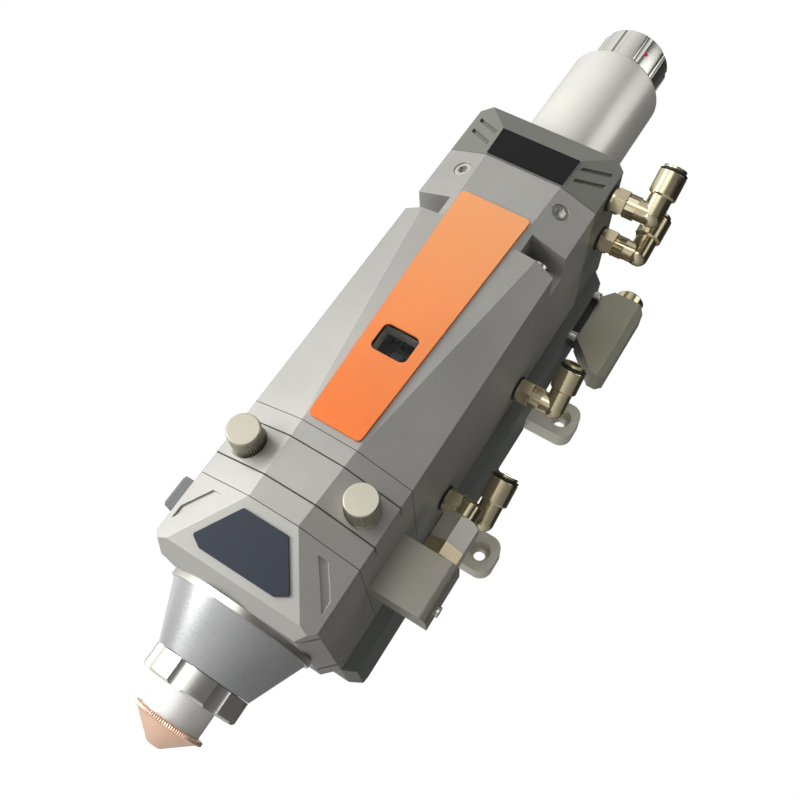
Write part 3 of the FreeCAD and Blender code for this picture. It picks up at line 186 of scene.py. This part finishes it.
def surface(
    name,
    colour,
    rough,
    metallic,
    spread=0.06,
    grain=900.0,
    bump=0.15,
    turned=0.0,
    edge=0.0,
    coat=0.0,
    fade=None,
    spec=0.5,
):
    """Metal, paint or plastic. turned gives turning marks instead of grain, and edge the strength
    of a painted highlight along sharp edges. fade holds the height where another colour begins,
    the height where it is reached, and that colour."""
    n = Surface(name)
    if turned:
        mapping = n.add("Mapping")
        mapping.inputs["Scale"].default_value = (ROUND_MARKS, ROUND_MARKS, turned)
        n.link(n.coord.outputs["Object"], mapping.inputs["Vector"])
        fine = n.noise(1.0, 2.0, 0.6, mapping.outputs["Vector"])
    else:
        fine = n.noise(grain, 2.0, 0.6)
    dark = tuple(c * (1 - spread) for c in colour)
    light = tuple(c * (1 + spread) for c in colour)
    base = n.ramp(n.noise(PATCHES, 3.0, 0.5), [(0.3, dark), (0.7, light)])
    base = n.mix(0.5, base, n.ramp(fine, [(0.25, SPECKS), (0.75, WHITE)]), "MULTIPLY")
    if fade:
        low, high, tint = fade
        split = n.add("SeparateXYZ")
        n.link(n.coord.outputs["Object"], split.inputs["Vector"])
        base = n.mix(n.span(split.outputs["Z"], 0.0, 1.0, low, high), base, tint)
    rounded = n.add("Bevel", samples=4)
    rounded.inputs["Radius"].default_value = EDGE_RADIUS
    # Painted highlight: where the Bevel normal bends away from the true normal, at sharp edges,
    # the colour is lightened to stand in for the glint of a rounded edge.
    if edge:
        bent = n.add("VectorMath", operation="DOT_PRODUCT")
        n.link(rounded.outputs["Normal"], bent.inputs[0])
        n.link(n.add("NewGeometry").outputs["Normal"], bent.inputs[1])
        painted_edge_highlight = n.span(bent.outputs["Value"], edge, 0.0, *HIGHLIGHT_BEND)
        base = n.mix(painted_edge_highlight, base, tuple(min(1.0, c * 1.5 + 0.1) for c in colour))
    relief = n.add("Bump")
    relief.inputs["Strength"].default_value = bump
    relief.inputs["Distance"].default_value = RELIEF
    n.link(fine, relief.inputs["Height"])
    n.link(rounded.outputs["Normal"], relief.inputs["Normal"])
    sockets = n.bsdf.inputs
    n.link(base, sockets["Base Color"])
    n.link(n.span(fine, rough - ROUGH_SPREAD, rough + ROUGH_SPREAD), sockets["Roughness"])
    n.link(relief.outputs["Normal"], sockets["Normal"])
    sockets["Metallic"].default_value = metallic
    sockets["Specular IOR Level"].default_value = spec
    if coat:
        sockets["Coat Weight"].default_value = coat
        sockets["Coat Roughness"].default_value = COAT_ROUGH
    return n.material


def clear(name, tint):
    """Coated glass, faintly smeared."""
    n = Surface(name)
    smear = n.noise(60.0, 3.0, 0.6)
    sockets = n.bsdf.inputs
    n.link(n.ramp(smear, [(0.3, tint), (0.8, WHITE)]), sockets["Base Color"])
    n.link(n.span(smear, 0.03, 0.08), sockets["Roughness"])
    sockets["Transmission Weight"].default_value = 1.0
    sockets["IOR"].default_value = COATED_IOR
    return n.material


# The orange plate gets paler from 50 to 180 mm above line C
ORANGE_FADE = (LINE_C + 0.05, LINE_C + 0.18, (0.93, 0.40, 0.16))

# edge is the strength of the painted highlight along sharp edges.
M = {
    "housing": surface("anodised_grey", (0.39, 0.383, 0.355), 0.46, 0.35, edge=0.5),
    "cap": surface("anodised_dark", (0.22, 0.225, 0.195), 0.46, 0.35, edge=0.5),
    "cover": surface("cover_grey", (0.16, 0.17, 0.155), 0.45, 0.3, edge=0.35),
    "bar": surface("bar_silver", (0.90, 0.86, 0.73), 0.40, 0.25, edge=0.4),
    "cone": surface("turned_silver", (0.46, 0.46, 0.465), 0.28, 0.95, turned=6000, bump=0.08),
    "ring": surface("ring_silver", (0.72, 0.70, 0.65), 0.3, 0.9, turned=5000, bump=0.08),
    "orange": surface(
        "orange_plate", (0.90, 0.21, 0.045), 0.38, 0.35, spread=0.05, fade=ORANGE_FADE
    ),
    "black": surface("plate_black", (0.010, 0.010, 0.011), 0.45, 0.0, spec=0.15),
    "badge": surface("badge_slate", (0.028, 0.034, 0.050), 0.4, 0.0, spec=0.25),
    "tube": surface("tube_satin", (0.80, 0.785, 0.72), 0.34, 0.4, turned=6000, bump=0.06),
    "collar": surface("collar_chrome", (0.80, 0.79, 0.73), 0.16, 1.0, spread=0.03),
    "steel": surface("screw_steel", (0.66, 0.65, 0.61), 0.26, 1.0, edge=0.3, bump=0.03),
    "inner": surface("inner_metal", (0.24, 0.24, 0.20), 0.4, 0.5),
    "block": surface("block_metal", (0.36, 0.34, 0.29), 0.42, 0.45, edge=0.5),
    "plastic": surface("dark_plastic", (0.02, 0.02, 0.022), 0.5, 0.0),
    "seal": surface("seal_rubber", (0.015, 0.015, 0.015), 0.6, 0.0),
    "bronze": surface("bronze", (0.50, 0.34, 0.14), 0.35, 0.9),
    "knob": surface("knob_silver", (0.50, 0.475, 0.385), 0.36, 0.8, edge=0.5),
    "fitting": surface(
        "nickel_brass", (0.68, 0.59, 0.39), 0.18, 1.0, spread=0.08, edge=0.2, bump=0.03
    ),
    "nut": surface("nut_nickel", (0.70, 0.68, 0.60), 0.30, 0.8, grain=250, bump=0.02),
    "hood": surface("hood_cast", (0.42, 0.41, 0.32), 0.4, 0.45, grain=1400, bump=0.35, edge=0.4),
    "sensor": surface("sensor_grey", (0.16, 0.16, 0.165), 0.5, 0.1),
    "ceramic": surface("ceramic_white", (0.86, 0.85, 0.82), 0.25, 0.0, spread=0.02, coat=0.4),
    "copper": surface("nozzle_copper", (0.93, 0.62, 0.46), 0.32, 0.8, turned=5000, bump=0.08),
    "seam": surface("seam_shadow", (0.02, 0.02, 0.018), 0.7, 0.0),
    "red": surface("red_dot", (0.75, 0.02, 0.02), 0.4, 0.0),
    "glass": clear("pane_glass", (0.85, 0.88, 0.88)),
}

# The CAD nodes of each material
WEAR = {
    "housing": [
        "nozzle_module_housing", "spacer_band", "window_drawer", "drawer_housing",
        "intermediate_band", "main_housing", "collimator_housing",
    ],
    "cap": ["top_cap"],
    "cover": ["rear_housing", "rear_cover"],
    "bar": ["mounting_bar_upper", "mounting_bar_lower"],
    "cone": ["cone_body"],
    "ring": ["collar_ring", "lock_ring"],
    "orange": ["face_plate"],
    "black": ["top_plate"],
    "badge": ["badge_plate"],
    "tube": ["receiver_tube", "fibre_seat"],
    "collar": ["bayonet_collar"],
    "steel": [
        "tie_screws", "collimator_screws", "guide_rods", "lead_screw", "gas_block_screw",
        "jack_screw_upper", "jack_screw_lower",
    ],
    "inner": ["collimator_cell", "focus_carriage", "window_retainer"],
    "block": ["gas_block"],
    "glass": ["sight_window", "protective_window", "focusing_lens", "collimating_lens"],
    "plastic": ["focus_pointer", "focus_motor", "connector_socket"],
    "seal": ["window_seal"],
    "bronze": ["carriage_nut", "screw_bearing"],
    "knob": ["thumb_screw_left", "thumb_screw_right"],
    "fitting": [
        "gas_fitting", "fitting_stems", "cable_ring",
        "elbow_1", "elbow_2", "elbow_3", "elbow_4",
        "release_ring_1", "release_ring_2", "release_ring_3", "release_ring_4",
    ],
    "nut": ["gas_nut"],
    "hood": ["connector_shell"],
    "sensor": ["sensor_block"],
    "ceramic": ["ceramic_ring"],
    "copper": ["nozzle"],
}
for key, names in WEAR.items():
    for name in names:
        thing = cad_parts[name]
        if not thing.material_slots:
            thing.data.materials.append(M[key])
        for place in thing.material_slots:
            place.material = M[key]


# Mesh pieces
SHARP = math.radians(32)  # edges that bend more than this stay sharp
CENTRE_HOLE = 0.01  # a turned form that is full to its axis starts at this radius


def show(name, vertices, faces, material, body, matrix):
    """A piece from its mesh, brought to its place; with a body, it rides it."""
    mesh = bpy.data.meshes.new(name)
    mesh.from_pydata(vertices, [], faces)
    mesh.transform(matrix)
    mesh.shade_smooth()
    work = bmesh.new()
    work.from_mesh(mesh)
    bmesh.ops.recalc_face_normals(work, faces=work.faces)
    for edge in work.edges:
        if len(edge.link_faces) == 2 and edge.calc_face_angle(0.0) > SHARP:
            edge.smooth = False
    work.to_mesh(mesh)
    work.free()
    mesh.materials.append(material)
    thing = added(name, mesh)
    if body:
        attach(thing, body)
    return thing


def spun(outline, steps, rim=math.inf, depth=0.0):
    """A turned form about Z. outline is (radius, height) pairs in millimetres, closed on itself.
    Beyond the radius rim every second step lies deeper, which makes teeth."""
    vertices, faces = [], []
    m = len(outline)
    for i in range(steps):
        a = 2 * math.pi * i / steps
        k = (i + 1) % steps
        for j, (radius, height) in enumerate(outline):
            r = radius - depth if i % 2 and radius > rim else radius
            vertices.append((r * math.cos(a) * MM, r * math.sin(a) * MM, height * MM))
            q = (j + 1) % m
            faces.append((i * m + j, k * m + j, k * m + q, i * m + q))
    return vertices, faces


def turn_to(point, direction):
    spin = Vector((0, 0, 1)).rotation_difference(Vector(direction).normalized())
    return Matrix.Translation(point) @ spin.to_matrix().to_4x4()


# Thumb screws with straight knurling
KNOB_OUTLINE = [
    (CENTRE_HOLE, 0.0), (6.9, 0.0), (7.3, 0.3), (7.3, 1.2), (7.0, 1.5), (7.5, 2.0),
    (7.5, 13.7), (7.3, 14.0), (7.3, 14.5), (6.9, 15.0), (CENTRE_HOLE, 15.0),
]
KNOB_RIM = 7.4
KNOB_TOOTH = 0.65
KNOB_STEPS = 76
KNOB_Y = -39.0
KNOB_Z = 20.3
for side, x in (("left", -29.0), ("right", 29.0)):
    vertices, faces = spun(KNOB_OUTLINE, KNOB_STEPS, KNOB_RIM, KNOB_TOOTH)
    place = turn_to(at(x, KNOB_Y, KNOB_Z), (0, -1, 0))
    knob = show("thumb_knob_" + side, vertices, faces, M["knob"], None, place)
    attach(knob, "thumb_" + side)
    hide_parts("thumb_screw_" + side)

# Nozzle with the fine teeth of its rim; height 0 is the upper side of the rim
NOZZLE_TIP = -11.1
NOZZLE_OUTLINE = [
    (3.0, 10.0), (6.5, 10.0), (6.5, 0.0), (16.1, 0.0), (16.6, -0.4), (16.6, -1.6), (16.1, -2.0),
    (14.6, -2.2), (14.2, -2.6), (3.5, -10.9), (3.0, NOZZLE_TIP), (1.5, NOZZLE_TIP), (1.5, -2.0),
    (3.0, 0.0),
]
NOZZLE_RIM = 16.0
NOZZLE_TOOTH = 0.45
NOZZLE_STEPS = 192
low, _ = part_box("nozzle")
rim_z = (low[2] - LINE_C) / MM - NOZZLE_TIP
vertices, faces = spun(NOZZLE_OUTLINE, NOZZLE_STEPS, NOZZLE_RIM, NOZZLE_TOOTH)
place = turn_to(at(0, 0, rim_z), (0, 0, 1))
tip = show("nozzle_turned", vertices, faces, M["copper"], None, place)
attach(tip, "tip")
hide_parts("nozzle")

# Black rings of the push-in elbows: one at the mouth of each barrel, one under each stem
RING_STEPS = 48
RING_EDGE = 0.3


def washer(name, inner, outer, height, point, direction, body, material):
    soft = min(RING_EDGE, height / 3)
    outline = [
        (inner, 0.0), (outer - soft, 0.0), (outer, soft), (outer, height - soft),
        (outer - soft, height), (inner, height),
    ]
    vertices, faces = spun(outline, RING_STEPS)
    return show(name, vertices, faces, material, body, turn_to(point, direction))


# Each elbow's place behind the beam axis and over line C, and its barrel's forward lean in degrees
ELBOWS = [(-28.7, 221.0, 30.0), (0.3, 218.5, 15.0), (33.0, 136.0, 40.0), (29.0, 63.6, 25.0)]
MOUTH_RING = (5.9, 6.95, 0.9)  # inner and outer radius, height
FOOT_RING = (5.6, 6.7, 1.3)
SIDE_X = 40.0
BARREL_X = 61.75
BARREL_LENGTH = 22.05
for number, (y, z, lean) in enumerate(ELBOWS, 1):
    a = math.radians(lean)
    barrel = Vector((0, -math.sin(a), math.cos(a)))
    mouth = at(BARREL_X, y, z) + barrel * BARREL_LENGTH * MM
    foot = at(SIDE_X, y, z)
    body = "hose_elbow_%d" % number
    mouth_name = "mouth_ring_%d" % number
    foot_name = "foot_ring_%d" % number
    washer(mouth_name, *MOUTH_RING, mouth, barrel, body, M["seal"])
    washer(foot_name, *FOOT_RING, foot, (1, 0, 0), "head", M["seal"])

# Joints between the modules, with the shade in their gaps painted on: a dark thin slice of the
# module's own outline, a hair proud of it
PROUD = 0.03
SAME_POINT = 1e-6
FLAT = 0.5  # a face lies flat where its normal has more than this along Z


def seam(node, edge, thick):
    low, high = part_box(node)
    middle = high[2] - thick * MM / 2 if edge == "top" else low[2] + thick * MM / 2
    work = bmesh.new()
    work.from_mesh(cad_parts[node].data)
    for side in (-1, 1):
        everything = work.verts[:] + work.edges[:] + work.faces[:]
        cut = Vector((0, 0, middle + side * thick * MM / 2))
        bmesh.ops.bisect_plane(
            work, geom=everything, plane_co=cut, plane_no=(0, 0, side), clear_outer=True
        )
    flat = [f for f in work.faces if abs(f.normal.z) > FLAT]
    bmesh.ops.delete(work, geom=flat, context="FACES")
    bmesh.ops.remove_doubles(work, verts=work.verts, dist=SAME_POINT)
    work.normal_update()
    for v in work.verts:
        v.co += v.normal * PROUD * MM
    mesh = bpy.data.meshes.new("seam_%s_%s" % (node, edge))
    work.to_mesh(mesh)
    work.free()
    mesh.materials.append(M["seam"])
    return added(mesh.name, mesh)


for node, edge, thick, body in (
    ("window_drawer", "top", 0.45, "drawer"),
    ("window_drawer", "bottom", 0.5, "drawer"),
    ("intermediate_band", "top", 0.3, "head"),
    ("nozzle_module_housing", "top", 0.3, "head"),
    ("collimator_housing", "top", 0.3, "head"),
):
    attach(seam(node, edge, thick), body)

# Red index dot on the bayonet collar, sunk into it by its lower part
DOT = (9.39, -18.33, 329.2)
DOT_RADIUS = 1.3
DOT_HEIGHT = 0.4
DOT_SUNK = 0.25
outward = Vector((DOT[0], DOT[1], 0)).normalized()
foot = at(*DOT) - outward * DOT_SUNK * MM
washer("index_dot", CENTRE_HOLE, DOT_RADIUS, DOT_HEIGHT, foot, outward, "collar", M["red"])

# Floor. Far from the object it glows white, and under it less, so that its shadow stays.
FLOOR_Z = -0.75
FLOOR_HALF = 9.0
GLOW = (0.66, 0.98)
GLOW_DISTANCE = (1.2, 3.5)
FLOOR_SIDE = ((-1.0, -0.1, 0.0), -0.8, 2.2)  # its bright side, and how far it is dark and bright
floor_mesh = bpy.data.meshes.new("floor")
corners = [
    (x * FLOOR_HALF, y * FLOOR_HALF, FLOOR_Z) for x, y in ((-1, -1), (1, -1), (1, 1), (-1, 1))
]
floor_mesh.from_pydata(corners, [], [(0, 1, 2, 3)])
floor = added("floor", floor_mesh)
pale = Surface("pale_floor")
where = pale.coord.outputs["Object"]
base = pale.ramp(pale.noise(3.0, 2.0, 0.55), [(0.3, (0.90,) * 3), (0.7, (0.93,) * 3)])
pale.link(base, pale.bsdf.inputs["Base Color"])
away = pale.add("VectorMath", operation="LENGTH")
pale.link(where, away.inputs[0])
glow = pale.span(away.outputs["Value"], *GLOW, *GLOW_DISTANCE)
rays = pale.white_rays(where, *FLOOR_SIDE)
pale.link(pale.reckon("MULTIPLY", rays, glow), pale.bsdf.inputs["Emission Strength"])
pale.bsdf.inputs["Emission Color"].default_value = WHITE + (1.0,)
pale.bsdf.inputs["Roughness"].default_value = 0.8
floor_mesh.materials.append(pale.material)
floor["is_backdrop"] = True

# Backdrop: white for the rays that show it, and for all others the soft light of the studio,
# in lobes of direction, level and tightness over an even level
LOBES = [
    ((-0.70, -0.60, -0.40), 1.28, 3.0),
    ((-0.60, -0.50, 0.60), 0.62, 3.0),
    ((-0.30, 1.00, 0.30), 0.18, 3.0),
]
AMBIENT = 0.03
SKY_SIDE = ((-0.93, -0.36, 0.0), 0.0, 0.9)
world = bpy.data.worlds.new("studio")
bpy.context.scene.world = world
world.use_nodes = True
sky = Nodes(world.node_tree)
where = sky.coord.outputs["Generated"]
level = AMBIENT
for direction, strength, tight in LOBES:
    towards = sky.along(where, Vector(direction).normalized())
    near = sky.reckon("POWER", sky.reckon("MAXIMUM", towards, 0.0), tight)
    level = sky.reckon("MULTIPLY_ADD", near, strength, level)
lit = sky.add("Background")
seen = sky.add("Background")
for shade in (lit, seen):
    shade.inputs["Color"].default_value = WHITE + (1.0,)
sky.link(level, lit.inputs["Strength"])
pick = sky.add("MixShader")
sky.link(sky.white_rays(where, *SKY_SIDE), pick.inputs["Fac"])
sky.link(lit.outputs["Background"], pick.inputs[1])
sky.link(seen.outputs["Background"], pick.inputs[2])
sky.link(pick.outputs["Shader"], sky.add("OutputWorld").inputs["Surface"])

# Lamps: name, direction from the object, distance, width and height in metres, and watts
CENTRE = Vector((0.0, -0.08, 0.02))
LAMPS = [
    ("key_low_left", (-0.74, -0.54, -0.42), 0.9, 0.45, 0.45, 5.6),
    ("right_fill", (0.80, -0.50, 0.30), 1.7, 0.6, 0.6, 1.0),
    ("top_right", (0.62, -0.35, 0.70), 0.62, 0.3, 0.3, 0.5),
    ("front_box", (-0.15, -1.0, -0.10), 1.7, 0.9, 0.6, 3.2),
    ("left_box", (-0.78, -0.62, 0.10), 1.7, 0.6, 0.6, 6.5),
    ("back_box", (-0.30, 1.0, 0.50), 1.7, 0.8, 0.6, 5.0),
]
for name, direction, distance, width, height, power in LAMPS:
    light = bpy.data.lights.new(name, "AREA")
    light.shape = "RECTANGLE"
    light.size = width
    light.size_y = height
    light.energy = power
    thing = added(name, light)
    thing.location = CENTRE + Vector(direction).normalized() * distance
    thing.rotation_mode = "QUATERNION"
    thing.rotation_quaternion = (CENTRE - thing.location).to_track_quat("-Z", "Y")
    thing.visible_camera = False

# The photograph's camera: its place, and where its right, its top and its back point
CAMERA_AT = (117.97, -372.48, -60.75)
CAMERA_AXES = (
    (0.8418, 0.0511, 0.5374),
    (-0.4625, -0.4452, 0.7668),
    (0.2784, -0.8940, -0.3511),
)
camera_data = bpy.data.cameras.new("photo")
camera_data.sensor_width = 36.0
camera_data.lens = 39.26
camera_data.clip_start = 0.01
camera_data.clip_end = 50.0
camera = added("photo", camera_data)
turn = Matrix(CAMERA_AXES).transposed()
camera.matrix_world = Matrix.Translation(at(*CAMERA_AT)) @ turn.to_4x4()
bpy.context.scene.camera = camera
bpy.context.scene.view_settings.view_transform = "Standard"

low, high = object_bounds()
